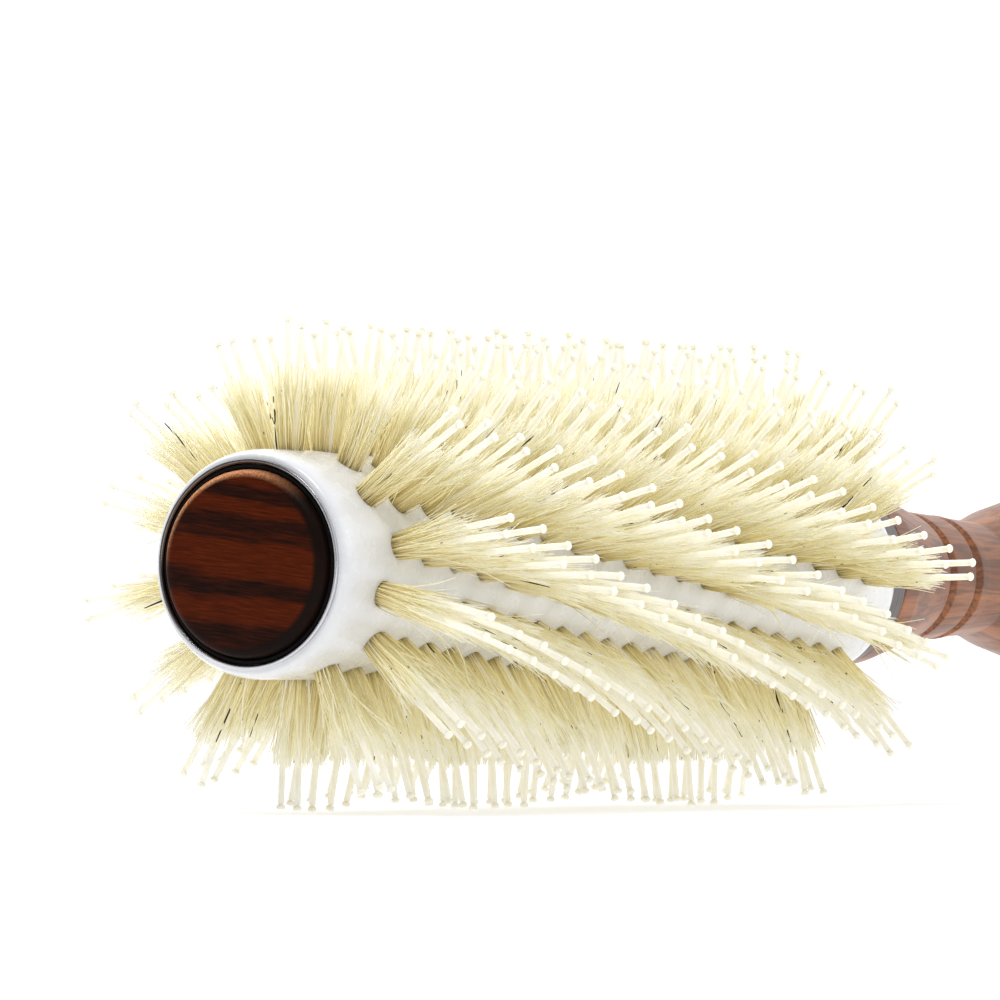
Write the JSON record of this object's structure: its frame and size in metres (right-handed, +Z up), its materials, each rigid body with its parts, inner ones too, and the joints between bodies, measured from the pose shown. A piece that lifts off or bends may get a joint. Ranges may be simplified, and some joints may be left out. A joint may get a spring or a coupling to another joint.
{
  "type": "round barrel hair brush",
  "caption": "Round blow-dry brush with a white barrel, helical rows of boar bristle tufts and nylon pins, a wooden end disc and a turned wooden handle.",
  "frame": {"origin": "centre of the wooden end disc's flat outer face", "axes": "+X along the brush from the end disc to the handle's butt, +Z up as the brush lies"},
  "size_m": [0.24, 0.0486, 0.0486],
  "materials": {
    "disc_wood": "dark streaked, polished",
    "black_plastic": "matte",
    "cup_metal": "bright turned edge",
    "steel": "zinc plated",
    "white_plastic": "glossy white",
    "dark_metal": "dark satin",
    "handle_wood": "reddish brown, lacquered",
    "bristle": "natural blond boar bristle",
    "nylon": "translucent creamy white"
  },
  "bodies": {
    "root": {"end_disc": "disc_wood", "disc_seat": "black_plastic", "front_cup": "cup_metal", "cup_screw": "steel", "barrel": "white_plastic", "ferrule": "dark_metal", "handle": "handle_wood", "bristle_row_01": "bristle", "bristle_row_02": "bristle", "bristle_row_03": "bristle", "bristle_row_04": "bristle", "bristle_row_05": "bristle", "bristle_row_06": "bristle", "bristle_row_07": "bristle", "bristle_row_08": "bristle", "bristle_row_09": "bristle", "bristle_row_10": "bristle", "bristle_row_11": "bristle", "bristle_row_12": "bristle", "bristle_row_13": "bristle", "bristle_row_14": "bristle", "pin_row_01": "nylon", "pin_row_02": "nylon", "pin_row_03": "nylon", "pin_row_04": "nylon", "pin_row_05": "nylon", "pin_row_06": "nylon", "pin_row_07": "nylon", "pin_row_08": "nylon", "pin_row_09": "nylon", "pin_row_10": "nylon", "pin_row_11": "nylon", "pin_row_12": "nylon", "pin_row_13": "nylon", "pin_row_14": "nylon"}
  },
  "joints": []
}
